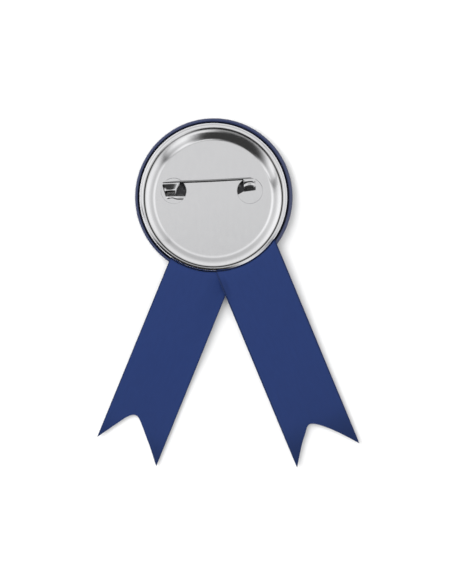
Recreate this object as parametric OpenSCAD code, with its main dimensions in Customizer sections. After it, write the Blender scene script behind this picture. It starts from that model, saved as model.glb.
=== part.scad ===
// Ribbon pin: a round tinplate button badge with two ribbon tails and a wire pin.
// It lies on its front, so +Z points out of the back, +Y away from the tails,
// and the origin is the middle of the front. Sizes are in millimetres.

/* [Badge] */
// Widest diameter over the covered rim
badge_d = 58; // [56:0.5:60]
// Diameter of the flat middle of the front
front_flat_d = 18; // [10:1:24]
// Bend radius of the gently domed front
dome_r = 75; // [70:1:90]
// Height of the covered rim's top above the front
curl_h = 4.9; // [4.7:0.1:5.2]
// Thickness of the printed paper and its clear film
cover_t = 0.25; // [0.2:0.05:0.3]
// Thickness of the tinplate front shell
shell_t = 0.25; // [0.2:0.05:0.3]

/* [Back plate] */
// Outer diameter of the bright bead round the back
bead_d = 54.7; // [54.5:0.1:55]
// Width of that bead
bead_w = 1.95; // [1.8:0.05:2.1]
// Height of the bead's top above the front
bead_h = 6.2; // [6:0.1:6.5]
// Diameter of the flat recessed disc
disc_d = 43; // [42:0.5:44]
// Height of the recessed disc's top above the front
disc_h = 4.3; // [4.2:0.1:4.4]
// Thickness of the tinplate back
plate_t = 0.3; // [0.25:0.05:0.3]
// Diameter of the two pressed rounds that the tongues are cut from
round_d = 9.4; // [9:0.1:9.6]
// Depth of the pressed rounds
round_depth = 0.1; // [0.05:0.01:0.12]

/* [Pin] */
// Diameter of the pin's wire
wire_d = 0.8; // [0.7:0.05:0.8]
// Diameter of the wire where it is bent into the hinge
neck_d = 0.72; // [0.6:0.02:0.74]
// Height of the wire's middle above the recessed disc
wire_lift = 1.1; // [1.05:0.05:1.2]
// Length from the hinge corner to the point
pin_len = 32.9; // [32:0.1:33.5]
// Turn of the pin in the view from behind
pin_turn = 2.63; // [0:0.1:4]
// Lean of the hinge axis, so that the point leaves the catch sideways as it lifts
hinge_lean = 25; // [22:1:27]
// Length of the short straight leg under the hinge tongue
leg_len = 0.9; // [0.8:0.1:1]

/* [Ribbon tails] */
// Width of the ribbon
ribbon_w = 24.3; // [23:0.1:25]
// Thickness of the ribbon's solid
ribbon_t = 1; // [1:0.1:1.2]
// Thickness where the crimp pinches it
pinched_t = 0.35; // [0.3:0.05:0.4]
// Turn of the left tail from straight down
left_turn = -22.1; // [-24:0.1:-20]
// Turn of the right tail from straight down
right_turn = 22.6; // [20:0.1:24]
// How far the left tail's middle passes from the badge's middle
left_shift = 5.6; // [5:0.1:6]
// How far the right tail's middle passes from the badge's middle
right_shift = 2.3; // [2:0.1:3]

/* [Hidden] */
$fn = 128;

// Room left between two pieces that touch on the real badge
gap = 0.05;
// Room between the two ribbons, and between them and the rim
layer_gap = 0.1;
// Steps that a rounded corner is drawn in
arc_steps = 8;
// Reach of a cutting solid past what it cuts
past = 5;

// Front shell
badge_r = badge_d / 2;
bead_r = bead_d / 2;
seam_w = 0.25;
curl_r = (badge_r - bead_r - seam_w) / 2;
dome_rise = 0.2;
shoulder_r = 2;
dome_corner = front_flat_d / 2 + dome_r * tan(atan(dome_rise) / 2);
tuck_h = curl_h - curl_r - 0.5;
// Columns: radius, height, rounding of the corner
cover_line = [
    [0, 0, 0],
    [dome_corner, 0, dome_r],
    [badge_r, (badge_r - dome_corner) * dome_rise, shoulder_r],
    [badge_r, curl_h, curl_r],
    [badge_r - 2 * curl_r, curl_h, curl_r],
    [badge_r - 2 * curl_r, tuck_h, 0]
];

// Back plate
disc_r = disc_d / 2;
valley_h = disc_h + 1.05;
valley_r = bead_r - bead_w;
// Columns: radius, height, rounding of the corner
back_line = [
    [0, disc_h, 0],
    [disc_r + 0.5, disc_h, 5],
    [valley_r - 0.8, valley_h, 3],
    [valley_r, valley_h, 0.1],
    [valley_r + 0.1, bead_h, 0.35],
    [bead_r, bead_h, 1.4],
    [bead_r, tuck_h + 0.2, 0]
];

// Pin, in a frame of its own: origin at the hinge corner, the point towards -X
hinge_at = [14.2, 6.84, disc_h + wire_lift];
bend_r = 0.8;
neck_len = 4.4;
shank_len = 21;
point_d = 0.12;
point_len = pin_len - bend_r - neck_len - shank_len;
plate_z = -wire_lift;
sunk_z = plate_z - round_depth;

// X runs along the wire and Y away from the tails, both from the hinge corner.
// Columns: foot's X, lip's X, foot's Y, lean, crown's height, shoulder's Y and height,
// rounding of the crown and of the shoulder
catch_rows = [
    [-28.3, -27.0, -5.15, 1.7, 0.4, -1.5, 0.95, 1.0, 0.6],
    [-28.6, -27.4, -5.15, 1.7, 0.55, -1.3, 1.1, 1.2, 0.7],
    [-29.6, -29.5, -5.15, 1.7, 0.65, -1.2, 1.2, 1.3, 0.7],
    [-30.7, -31.6, -5.15, 1.7, 0.55, -1.3, 1.1, 1.2, 0.7],
    [-31.3, -33.2, -5.15, 1.7, 0.4, -1.5, 0.95, 1.0, 0.6]
];
hinge_rows = [
    [1.2, 1.2, -4.2, 0.85, 1.6, -1.75, 1.7, 1.1, 0.8],
    [0.3, 0.3, -4.3, 0.9, 1.7, -1.75, 1.8, 1.2, 0.8],
    [-0.9, -0.9, -4.4, 1.0, 1.65, -1.75, 1.75, 1.3, 0.8],
    [-2.1, -2.1, -4.55, 1.1, 1.5, -1.75, 1.6, 1.2, 0.8],
    [-3.1, -3.2, -4.7, 1.2, 1.25, -1.8, 1.35, 1.1, 0.8]
];
// Top edge of each tongue's lip: how far it stays short of the wire's middle, and its height over it
catch_lip = [-0.25, 0.68];
hinge_lip = [-0.45, 1.12];
catch_round_at = [-14.6, 2.3];
hinge_round_at = [13.4, 2.3];
// Lower edges of the holes that the two tongues leave, from right to left, and how far short
// of the wire's middle the holes end
catch_hole = [[-24, -5.55], [-31.3, -5], [-33.4, -5]];
hinge_hole = [[1.2, -4.05], [-3.1, -4.55], [-6, -6]];
hole_top = -0.15;

// Tails, each in a frame of its own: the badge's middle at the origin, the tail towards -Y
// Columns: place across the ribbon, distance of its cut end from the badge's middle
left_end = [
    [-0.5, 97.6], [-0.3, 90.1], [-0.215, 87], [-0.115, 84.7], [-0.065, 84.6],
    [0.075, 87.5], [0.18, 90.4], [0.29, 93.3], [0.5, 99.4]
];
right_end = [
    [-0.5, 103.5], [-0.285, 95.7], [-0.18, 92.6], [-0.115, 90.7], [-0.06, 90.4],
    [-0.02, 90.8], [0.105, 93.1], [0.275, 97.3], [0.5, 103.9]
];
// Radii of the first rows of a tail, from the seam out over the covered rim
rim_rows = [bead_r + 0.15, badge_r - 0.8, badge_r + 0.2, badge_r + 1.6];
tail_steps = 15;
tail_seat = curl_h + layer_gap;
tail_landing = 62;

// Direction from one point of a path to the next
function heading(a, b) = ([b[0], b[1]] - [a[0], a[1]]) / norm([b[0] - a[0], b[1] - a[1]]);

// A direction turned a quarter to the left
function left_of(d) = [-d[1], d[0]];

// Corner b between a and c, rounded with b's third value
function corner(a, b, c) =
    let(
        way_in = heading(a, b),
        way_out = heading(b, c),
        turn = atan2(way_in[0] * way_out[1] - way_in[1] * way_out[0], way_in * way_out),
        arm = (turn > 0 ? -b[2] : b[2]) * left_of(way_in),
        start = [b[0], b[1]] - b[2] * tan(abs(turn) / 2) * way_in
    )
    [for (i = [0 : arc_steps])
        let(t = turn * i / arc_steps)
        start - arm + [arm[0] * cos(t) - arm[1] * sin(t), arm[0] * sin(t) + arm[1] * cos(t)]];

// A table of corners as a path of points
function rounded(table) =
    let(last = len(table) - 1)
    [for (i = [0 : last])
        each i == 0 || i == last || table[i][2] == 0
            ? [[table[i][0], table[i][1]]]
            : corner(table[i - 1], table[i], table[i + 1])];

// The path without points that fall on the one before
function distinct(path) =
    [for (i = [0 : len(path) - 1]) if (i == 0 || norm(path[i] - path[i - 1]) > 1e-4) path[i]];

// The path moved to its left by a distance
function beside(path, distance) =
    let(last = len(path) - 1)
    [for (i = [0 : last])
        let(
            before = i == 0 ? heading(path[0], path[1]) : heading(path[i - 1], path[i]),
            after = i == last ? before : heading(path[i], path[i + 1]),
            middle = (before + after) / norm(before + after)
        )
        path[i] + distance / (middle * before) * left_of(middle)];

function backwards(list) = [for (i = [len(list) - 1 : -1 : 0]) list[i]];

// Eases from 0 to 1
function ease(t) = let(c = min(max(t, 0), 1)) c * c * (3 - 2 * c);

// Sheet turned round the Z axis, thickened to the left of its path
module turned_sheet(path, thickness) {
    rotate_extrude()
        polygon(concat(path, backwards(beside(path, thickness))));
}

// Closed sheet between two grids of points, whose rows times columns point out of the first grid
module sheet(outer, inner) {
    rows = len(outer);
    cols = len(outer[0]);
    second = rows * cols;
    edge = concat(
        [for (j = [0 : cols - 1]) j],
        [for (i = [1 : rows - 1]) i * cols + cols - 1],
        [for (j = [cols - 2 : -1 : 0]) (rows - 1) * cols + j],
        [for (i = [rows - 2 : -1 : 1]) i * cols]
    );
    cells = [for (i = [0 : rows - 2]) for (j = [0 : cols - 2]) i * cols + j];
    faces = concat(
        [for (c = cells) each [[c, c + 1, c + cols + 1], [c, c + cols + 1, c + cols]]],
        [for (c = cells) each [
            [second + c, second + c + cols + 1, second + c + 1],
            [second + c, second + c + cols, second + c + cols + 1]
        ]],
        [for (k = [0 : len(edge) - 1])
            let(a = edge[k], b = edge[(k + 1) % len(edge)])
            each [[a, second + b, b], [a, second + a, second + b]]]
    );
    polyhedron(points = concat([for (row = outer) each row], [for (row = inner) each row]), faces = faces);
}

// One section of a tongue, from inside the plate over the crown to the lip
function tongue_line(row, lip) =
    rounded([
        [row[2] - 0.9, sunk_z, 0],
        [row[2], sunk_z, 0.35],
        [row[2] + row[3], row[4], row[7]],
        [row[5], row[6], row[8]],
        [lip[0], lip[1], 0]
    ]);

// A section's points in space, moving sideways from its foot to its lip
function tongue_points(row, path, lip) =
    [for (p = path)
        let(t = ease((p[0] - row[2]) / (lip[0] - row[2])))
        [row[0] + (row[1] - row[0]) * t, p[0], p[1]]];

function across(grid) = [for (j = [0 : len(grid[0]) - 1]) [for (row = grid) row[j]]];

// Tongue cut from the plate, stood up at its foot and rolled over towards the wire
module tongue(rows, lip) {
    top = [for (row = rows) tongue_points(row, tongue_line(row, lip), lip)];
    under = [for (row = rows) tongue_points(row, beside(tongue_line(row, lip), -plate_t), lip)];
    sheet(across(top), across(under));
}

module at_pin() {
    translate(hinge_at)
        rotate([0, 0, pin_turn])
            children();
}

// Printed paper under clear film, wrapped round the front and curled into the back
module face_cover() {
    color("#2b3f75")
        turned_sheet(distinct(rounded(cover_line)), cover_t);
}

// Tinplate cup that the cover is wrapped on
module shell() {
    color("silver")
        turned_sheet(beside(distinct(rounded(cover_line)), cover_t + gap), shell_t);
}

// Upright round at a place on the plate, from one height up
module round_block(place, z, d, h) {
    translate([place[0], place[1], z])
        cylinder(d = d, h = h);
}

// Hole that a tongue leaves in its pressed round, between its lower edge and the wire
module tongue_hole(place, lower_edge) {
    right = lower_edge[0][0];
    left = lower_edge[len(lower_edge) - 1][0];
    intersection() {
        round_block(place, disc_h - past, round_d, 2 * past);
        at_pin()
            translate([0, 0, -past])
                linear_extrude(2 * past)
                    polygon(concat(lower_edge, [[left, hole_top], [right, hole_top]]));
    }
}

// Back plate with its bead, and the catch and the hinge formed out of it
module back_plate() {
    color("gainsboro")
        union() {
            difference() {
                union() {
                    turned_sheet(distinct(rounded(back_line)), -plate_t);
                    for (place = [catch_round_at, hinge_round_at])
                        round_block(place, disc_h - plate_t - round_depth, round_d + plate_t, plate_t);
                }
                for (place = [catch_round_at, hinge_round_at])
                    round_block(place, disc_h - round_depth, round_d, past);
                tongue_hole(catch_round_at, catch_hole);
                tongue_hole(hinge_round_at, hinge_hole);
            }
            at_pin() {
                tongue(catch_rows, catch_lip);
                tongue(hinge_rows, hinge_lip);
            }
        }
}

// Stretch of the wire from a distance to the hinge corner towards the point
module wire_stretch(start, length, d_start, d_end) {
    translate([-start, 0, 0])
        rotate([0, -90, 0])
            cylinder(d1 = d_start, d2 = d_end, h = length);
}

// Spring wire: a long ground point, a straight shank and a short bent leg that it turns on
module pin_wire() {
    color("darkgray")
        at_pin()
            rotate([-hinge_lean, 0, 0]) {
                wire_stretch(bend_r, neck_len, neck_d, wire_d);
                wire_stretch(bend_r + neck_len, shank_len, wire_d, wire_d);
                wire_stretch(bend_r + neck_len + shank_len, point_len, wire_d, point_d);
                translate([-bend_r, -bend_r, 0])
                    rotate_extrude(angle = 90)
                        translate([bend_r, 0])
                            circle(d = neck_d);
                translate([0, -bend_r, 0])
                    rotate([90, 0, 0])
                        cylinder(d = neck_d, h = leg_len);
            }
}

// Distance along a tail at which it passes a circle round the badge's middle
function along(x, radius) = sqrt(radius * radius - x * x);

// Places down one edge-to-edge column of a tail: over the rim first, then evenly to the cut end
function tail_column(x, cut) =
    let(start = along(x, rim_rows[len(rim_rows) - 1]))
    concat(
        [for (radius = rim_rows) along(x, radius)],
        [for (i = [1 : tail_steps]) start + (cut - start) * i / tail_steps]
    );

// Thickness of a tail at a place: pinched over the rim, full beyond it
function tail_thickness(x, y) =
    let(first_full = rim_rows[3], last_pinched = rim_rows[2])
    pinched_t + (ribbon_t - pinched_t) * ease((norm([x, y]) - last_pinched) / (first_full - last_pinched));

// How far a tail has come down, from 0 at the seam to 1 where it meets the surface below
function tail_fall(x, y) = ease((y - along(x, rim_rows[0])) / tail_landing);

// A ribbon tail: the lower one's upper face stays level with its seat, the upper one's lower face
module tail(turn, shift, cut_ends, seat, upper) {
    last = len(cut_ends) - 1;
    places = [
        for (k = [0 : last - 1]) each [cut_ends[k][0], (cut_ends[k][0] + cut_ends[k + 1][0]) / 2],
        cut_ends[last][0]
    ];
    xs = [for (place = places) shift + place * ribbon_w];
    ys = [for (k = [0 : len(xs) - 1]) tail_column(xs[k], lookup(places[k], cut_ends))];
    rows = [0 : len(ys[0]) - 1];
    cols = [0 : len(xs) - 1];
    function under_z(x, y) = upper
        ? seat * (1 - tail_fall(x, y))
        : seat + pinched_t - (seat + pinched_t - ribbon_t) * tail_fall(x, y) - tail_thickness(x, y);
    under = [for (i = rows) [for (j = cols) [xs[j], -ys[j][i], under_z(xs[j], ys[j][i])]]];
    top = [for (row = under) [for (p = row) p + [0, 0, tail_thickness(p[0], p[1])]]];
    rotate([0, 0, turn])
        sheet(top, under);
}

// Ribbon tail that leaves the crimp towards the lower left
module tail_left() {
    color("#2d3f73")
        tail(left_turn, left_shift, left_end, tail_seat, false);
}

// Ribbon tail that leaves the crimp towards the lower right, over the left one
module tail_right() {
    color("#2d3f73")
        tail(right_turn, right_shift, right_end, tail_seat + pinched_t + layer_gap, true);
}

face_cover();
shell();
back_plate();
pin_wire();
tail_left();
tail_right();
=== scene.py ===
# %% [markdown]
# # Ribbon pin, dressed around its CAD frame
# The object is the back of a 58 mm button badge: a bright tinplate back with a wire pin,
# a blue covered rim, and two blue ribbon tails that are crimped in under the rim.
# It lies on its front, and the camera looks straight down on its back.
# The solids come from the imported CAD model. Here each one gets its finish,
# or a finer piece that stands for it in exactly the same place.

import math

import bmesh
import bpy
import numpy as np
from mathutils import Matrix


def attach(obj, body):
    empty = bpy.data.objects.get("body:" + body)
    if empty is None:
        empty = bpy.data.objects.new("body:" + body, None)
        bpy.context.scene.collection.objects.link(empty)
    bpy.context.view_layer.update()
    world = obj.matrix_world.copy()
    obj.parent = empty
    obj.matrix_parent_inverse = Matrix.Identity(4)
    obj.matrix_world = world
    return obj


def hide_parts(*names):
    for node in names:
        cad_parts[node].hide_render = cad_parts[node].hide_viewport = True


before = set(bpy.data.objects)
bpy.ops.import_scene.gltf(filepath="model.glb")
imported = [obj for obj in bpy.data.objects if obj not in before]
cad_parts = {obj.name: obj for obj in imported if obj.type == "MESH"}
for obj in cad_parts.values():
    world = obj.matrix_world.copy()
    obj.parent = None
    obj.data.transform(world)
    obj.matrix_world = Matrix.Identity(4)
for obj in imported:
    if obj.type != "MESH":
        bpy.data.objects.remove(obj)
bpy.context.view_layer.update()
MM = 0.001


# %% [markdown]
# ## Camera
# The photograph looks straight down, with the side away from the tails at the top.
# At the height of the badge's back the picture is 214.8 mm tall, which sets the
# distance for the chosen lens. The picture is upright, so the sensor's long side is
# its height. The picture's middle lies between the badge and the tails' ends.

# %% Make the camera
VIEW_HEIGHT = 214.8 * MM
LENS, SENSOR = 105.0, 36.0
LOOK_AT = (4.63 * MM, -34.9 * MM, 4 * MM)

camera_data = bpy.data.cameras.new("camera")
camera_data.lens, camera_data.sensor_width = LENS, SENSOR
camera = bpy.data.objects.new("camera", camera_data)
distance = VIEW_HEIGHT * LENS / SENSOR
camera.location = (LOOK_AT[0], LOOK_AT[1], LOOK_AT[2] + distance)
bpy.context.scene.collection.objects.link(camera)
bpy.context.scene.camera = camera
print("camera is", round(distance, 3), "m above the badge")

# %% [markdown]
# ## Lines and surfaces
# A pressed sheet is easiest to think of as a drawn section: a few corners, each with
# its own rounding, and the same line again one sheet thickness beside it. The CAD
# source describes every sheet that way, so these helpers repeat its rules with finer
# steps. Bright metal shows each facet of a coarse curve, and fine steps avoid that.

# %% Helpers for drawn sections
def heading(a, b):
    """Direction from one point of a path to the next."""
    step = np.subtract(b, a)
    return step / np.linalg.norm(step)


def rounded(table, steps=16):
    """A table of corners (place, height, rounding) as a path of points."""
    path = []
    for i, (x, y, radius) in enumerate(table):
        if radius == 0 or i in (0, len(table) - 1):
            path.append((x, y))
            continue
        way_in = heading(table[i - 1][:2], (x, y))
        way_out = heading((x, y), table[i + 1][:2])
        turn = math.atan2(way_in[0] * way_out[1] - way_in[1] * way_out[0], way_in @ way_out)
        arm = -math.copysign(radius, turn) * np.array((-way_in[1], way_in[0]))
        centre = np.array((x, y)) - radius * math.tan(abs(turn) / 2) * way_in - arm
        for t in np.linspace(0, turn, steps + 1):
            c, s = math.cos(t), math.sin(t)
            path.append(centre + (arm[0] * c - arm[1] * s, arm[0] * s + arm[1] * c))
    return np.array(path)


def distinct(path):
    """The path without points that fall on the one before."""
    kept = [path[0]]
    for point in path[1:]:
        if np.linalg.norm(point - kept[-1]) > 1e-4:
            kept.append(point)
    return np.array(kept)


def beside(path, distance):
    """The path moved to its left by a distance."""
    ways = [heading(a, b) for a, b in zip(path, path[1:])]
    moved = []
    for i, point in enumerate(path):
        before, after = ways[max(i - 1, 0)], ways[min(i, len(ways) - 1)]
        middle = (before + after) / np.linalg.norm(before + after)
        left = np.array((-middle[1], middle[0]))
        moved.append(point + distance / (middle @ before) * left)
    return np.array(moved)


def smooth_through(places, values, at):
    """Values between the rows of a table, on a smooth curve through them."""
    places, values, at = (np.asarray(v, float) for v in (places, values, at))
    slopes = np.gradient(values, places, axis=0)
    k = np.clip(np.searchsorted(places, at, side="right") - 1, 0, len(places) - 2)
    width = places[k + 1] - places[k]
    t = (at - places[k]) / width
    if values.ndim > 1:
        t, width = t[:, None], width[:, None]
    return (
        (2 * t**3 - 3 * t**2 + 1) * values[k] + (t**3 - 2 * t**2 + t) * width * slopes[k]
        + (3 * t**2 - 2 * t**3) * values[k + 1] + (t**3 - t**2) * width * slopes[k + 1]
    )


def ease(t):
    t = np.clip(t, 0, 1)
    return t * t * (3 - 2 * t)


# %% Helpers for meshes
def mesh_object(name, points_mm, faces=(), edges=()):
    """A new object from points in millimetres."""
    mesh = bpy.data.meshes.new(name)
    mesh.from_pydata([tuple(float(v) * MM for v in p) for p in points_mm], edges, faces)
    made = bpy.data.objects.new(name, mesh)
    bpy.context.scene.collection.objects.link(made)
    return made


def close_up(made, smooth_angle=None):
    """Merges doubles, turns every face outwards and sets which edges stay sharp."""
    work = bmesh.new()
    work.from_mesh(made.data)
    bmesh.ops.remove_doubles(work, verts=work.verts, dist=0.5e-6)
    bmesh.ops.recalc_face_normals(work, faces=work.faces)
    work.to_mesh(made.data)
    work.free()
    made.data.polygons.foreach_set("use_smooth", [True] * len(made.data.polygons))
    if smooth_angle is not None:
        made.data.set_sharp_from_angle(angle=math.radians(smooth_angle))
    return made


def as_plain_mesh(made, name):
    """The object's evaluated shape as a plain mesh object, and the first one removed."""
    graph = bpy.context.evaluated_depsgraph_get()
    mesh = bpy.data.meshes.new_from_object(made.evaluated_get(graph))
    bpy.data.objects.remove(made)
    plain = bpy.data.objects.new(name, mesh)
    mesh.name = name
    bpy.context.scene.collection.objects.link(plain)
    return plain


def sheet_faces(rows, cols):
    """Faces of a closed sheet between two grids of points, one after the other."""
    second = rows * cols
    faces = []
    for c in (i * cols + j for i in range(rows - 1) for j in range(cols - 1)):
        faces.append((c, c + 1, c + cols + 1, c + cols))
        faces.append((second + c, second + c + cols, second + c + cols + 1, second + c + 1))
    edge = (
        list(range(cols)) + [i * cols + cols - 1 for i in range(1, rows)]
        + [(rows - 1) * cols + j for j in range(cols - 2, -1, -1)]
        + [i * cols for i in range(rows - 2, 0, -1)]
    )
    for a, b in zip(edge, edge[1:] + edge[:1]):
        faces.append((a, second + a, second + b, b))
    return faces


def sheet_object(name, outer, inner):
    """A closed sheet between two grids of points in millimetres."""
    rows, cols = outer.shape[:2]
    points = np.concatenate((outer.reshape(-1, 3), inner.reshape(-1, 3)))
    return close_up(mesh_object(name, points, sheet_faces(rows, cols)))


# %% [markdown]
# ## Node helpers
# Geometry Nodes, materials and the world are all node trees, so the same few helpers
# serve them all. One adds a node, sets its properties and fills its inputs from values
# or other nodes, and the others are short names for the nodes that come back most.

# %% Add nodes to any tree
def fill(tree, node, inputs):
    """Fills inputs, named or numbered, each from a value, a node or a socket."""
    for key, value in inputs.items():
        if isinstance(value, bpy.types.Node):
            value = value.outputs[0]
        if isinstance(value, bpy.types.NodeSocket):
            tree.links.new(value, node.inputs[key])
        else:
            node.inputs[key].default_value = value
    return node


def put(tree, kind, inputs=None, **settings):
    """Adds a node with its settings and its inputs."""
    node = tree.nodes.new(kind)
    for key, value in settings.items():
        setattr(node, key, value)
    return fill(tree, node, inputs or {})


def math_node(tree, operation, *values):
    return put(tree, "ShaderNodeMath", dict(enumerate(values)), operation=operation)


def vector_node(tree, operation, *values):
    return put(tree, "ShaderNodeVectorMath", dict(enumerate(values)), operation=operation)


def noise_node(tree, place, scale, detail, roughness=0.5):
    return put(tree, "ShaderNodeTexNoise",
               {"Vector": place, "Scale": scale, "Detail": detail, "Roughness": roughness})


def spread(tree, value, low, high, to_low=0.0, to_high=1.0, kind="LINEAR"):
    """Carries the range from low to high over to another one, and stops at its ends."""
    return put(tree, "ShaderNodeMapRange",
               {"Value": value, "From Min": low, "From Max": high,
                "To Min": to_low, "To Max": to_high}, interpolation_type=kind)


def mix_values(tree, share, first, second):
    """Number between two, by a share from 0 to 1."""
    return put(tree, "ShaderNodeMix", {0: share, 2: first, 3: second}, data_type="FLOAT")


def mix_colours(tree, share, first, second):
    """Colour between two, by a share from 0 to 1."""
    node = put(tree, "ShaderNodeMix", {0: share, 6: first, 7: second}, data_type="RGBA")
    return node.outputs[2]


# %% Make node groups and set their inputs
def new_group(name, kind, inputs, outputs):
    """A node group with named inputs and outputs, and its two end nodes."""
    tree = bpy.data.node_groups.new(name, kind)
    for way, sockets in (("INPUT", inputs), ("OUTPUT", outputs)):
        for label, socket, *value in sockets:
            made = tree.interface.new_socket(label, in_out=way, socket_type="NodeSocket" + socket)
            if value:
                made.default_value = value[0]
    return tree, tree.nodes.new("NodeGroupInput"), tree.nodes.new("NodeGroupOutput")


def group_node(tree, group, **inputs):
    """Places a shader group in a material with its own values."""
    return fill(tree, put(tree, "ShaderNodeGroup", node_tree=group), inputs)


def set_input(modifier, label, value):
    """Sets a Geometry Nodes input, which goes by its socket's identifier."""
    for item in modifier.node_group.interface.items_tree:
        if item.name == label and item.in_out == "INPUT":
            modifier[item.identifier] = value


# %% [markdown]
# ## Shared effects
# Three effects come back in several materials, so each is a node group with its own
# values where it is used: fine marks that run one way, as rolling and handling leave
# them; soft uneven patches; and a thin ring round the badge's middle, which places painted
# shade along the crease and the cover's tuck, and the band of the cover's pleats. They read
# Object coordinates, so the marks stay on the metal when a piece moves.

# %% Group: fine marks
def object_place(tree):
    return put(tree, "ShaderNodeTexCoord").outputs["Object"]


def fine_marks():
    tree, given, out = new_group(
        "fine marks", "ShaderNodeTree",
        [("Stretch", "Vector", (1, 1, 1)), ("Scale", "Float", 1000), ("Sharpness", "Float", 0.5)],
        [("Mask", "Float"), ("Height", "Float")],
    )
    stretched = vector_node(tree, "MULTIPLY", object_place(tree), given.outputs["Stretch"])
    noise = noise_node(tree, stretched, given.outputs["Scale"], 4.0, given.outputs["Sharpness"])
    fill(tree, out, {"Mask": spread(tree, noise, 0.35, 0.7), "Height": noise})
    return tree


FINE_MARKS = fine_marks()
print("group:", FINE_MARKS.name)


# %% Group: soft patches
def soft_patches():
    tree, given, out = new_group(
        "soft patches", "ShaderNodeTree",
        [("Scale", "Float", 60), ("Low", "Float", 0.0), ("High", "Float", 1.0)],
        [("Value", "Float")],
    )
    noise = noise_node(tree, object_place(tree), given.outputs["Scale"], 2.0)
    value = spread(tree, noise, 0.3, 0.7, given.outputs["Low"], given.outputs["High"])
    fill(tree, out, {"Value": value})
    return tree


SOFT_PATCHES = soft_patches()
print("group:", SOFT_PATCHES.name)


# %% Group: ring round the badge's middle
def ring():
    tree, given, out = new_group(
        "ring", "ShaderNodeTree",
        [("Centre", "Vector", (0, 0, 0)), ("Radius", "Float", 0.0254), ("Width", "Float", 0.0002)],
        [("Mask", "Float")],
    )
    moved = vector_node(tree, "SUBTRACT", object_place(tree), given.outputs["Centre"])
    flat = vector_node(tree, "MULTIPLY", moved, (1, 1, 0))
    radius = vector_node(tree, "LENGTH", flat).outputs["Value"]
    off = math_node(tree, "ABSOLUTE", math_node(tree, "SUBTRACT", radius, given.outputs["Radius"]))
    mask = spread(tree, off, 0.0, given.outputs["Width"], 1.0, 0.0, kind="SMOOTHSTEP")
    fill(tree, out, {"Mask": mask})
    return tree


RING = ring()
print("group:", RING.name)


# %% Start a material
def new_material(name):
    """A material with an empty tree but for its shader and output."""
    material = bpy.data.materials.new(name)
    material.use_nodes = True
    tree = material.node_tree
    tree.nodes.clear()
    shader = tree.nodes.new("ShaderNodeBsdfPrincipled")
    put(tree, "ShaderNodeOutputMaterial", {"Surface": shader})
    return material, tree, shader


# %% [markdown]
# ## Tinplate
# The back and its tongues are rolled steel sheet with a bright tin coat: nearly a
# mirror, softened by a faint haze and by fine lines along the rolling direction. The
# haze is roughness from the soft patches and the rolling lines, and two very low bumps
# bend the reflections a little, as on any pressed sheet. Painted shade lies as a thin
# dark ring in the crease beside the bead, and it thins out on the side away from the tails.

# %% Material: bright tinplate
CREASE_R, CREASE_W, OFF_CENTRE = 25.3, 0.58, 0.36
# Where along Y, in millimetres, the painted shade in the crease thins out
CREASE_SHADE_FROM, CREASE_SHADE_TO = 8, 20
TIN, TIN_SCUFFED, CREASE_SHADE = (0.67, 0.67, 0.68, 1), (0.652, 0.652, 0.664, 1), (0.08, 0.08, 0.075, 1)


def tinplate():
    material, tree, shader = new_material("bright tinplate")
    rolled = group_node(tree, FINE_MARKS, Stretch=(1, 0.08, 1), Scale=4200, Sharpness=0.6)
    scuffs = group_node(tree, FINE_MARKS, Stretch=(1, 0.3, 1), Scale=700, Sharpness=0.7)
    haze = group_node(tree, SOFT_PATCHES, Scale=70, Low=0.085, High=0.125)
    swell = group_node(tree, SOFT_PATCHES, Scale=110)
    # Painted shade: a thin dark ring in the crease, strongest towards the tails
    crease = group_node(tree, RING, Centre=(0, -OFF_CENTRE * MM, 0), Radius=CREASE_R * MM,
                        Width=CREASE_W * MM)
    up = put(tree, "ShaderNodeSeparateXYZ", {0: object_place(tree)}).outputs["Y"]
    share = spread(tree, up, CREASE_SHADE_FROM * MM, CREASE_SHADE_TO * MM, 0.97, 0.28, kind="SMOOTHSTEP")
    crease_shade = math_node(tree, "MULTIPLY", crease.outputs["Mask"], share)
    metal = mix_colours(tree, scuffs.outputs["Mask"], TIN, TIN_SCUFFED)
    low = put(tree, "ShaderNodeBump", {"Height": swell, "Distance": 0.012 * MM})
    fine = put(tree, "ShaderNodeBump",
               {"Height": rolled.outputs["Height"], "Distance": 0.0002 * MM, "Normal": low})
    fill(tree, shader, {
        "Base Color": mix_colours(tree, crease_shade, metal, CREASE_SHADE),
        "Metallic": 1.0,
        "Roughness": math_node(tree, "MULTIPLY_ADD", rolled.outputs["Mask"], 0.02, haze),
        "Normal": fine,
    })
    return material


TINPLATE = tinplate()
print("material:", TINPLATE.name)

# %% [markdown]
# ## Spring wire
# The pin is drawn steel wire, harder and a little greyer than the tin. Drawing leaves
# fine lines along its length, which here is nearly the X direction.

# %% Material: drawn wire
STEEL, STEEL_LINES = (0.31, 0.31, 0.315, 1), (0.24, 0.24, 0.245, 1)


def drawn_wire():
    material, tree, shader = new_material("drawn spring wire")
    drawn = group_node(tree, FINE_MARKS, Stretch=(0.03, 1, 1), Scale=6000, Sharpness=0.6)
    haze = group_node(tree, SOFT_PATCHES, Scale=400, Low=0.2, High=0.3)
    lines = put(tree, "ShaderNodeBump", {"Height": drawn.outputs["Height"], "Distance": 0.002 * MM})
    fill(tree, shader, {
        "Base Color": mix_colours(tree, drawn.outputs["Mask"], STEEL, STEEL_LINES),
        "Metallic": 1.0,
        "Roughness": math_node(tree, "MULTIPLY_ADD", drawn.outputs["Mask"], 0.08, haze),
        "Normal": lines,
    })
    return material


DRAWN_WIRE = drawn_wire()
print("material:", DRAWN_WIRE.name)

# %% [markdown]
# ## Paper under film
# The front and its curled rim are dark blue printed paper under a clear gloss film.
# The film is a coat over the paper's colour. Where film and paper turn over the curl
# they are drawn in tiny pleats, which are a bump that runs round with the angle. Where
# they tuck in beside the bead, the paper is in shadow and the film loses its gloss.

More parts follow.
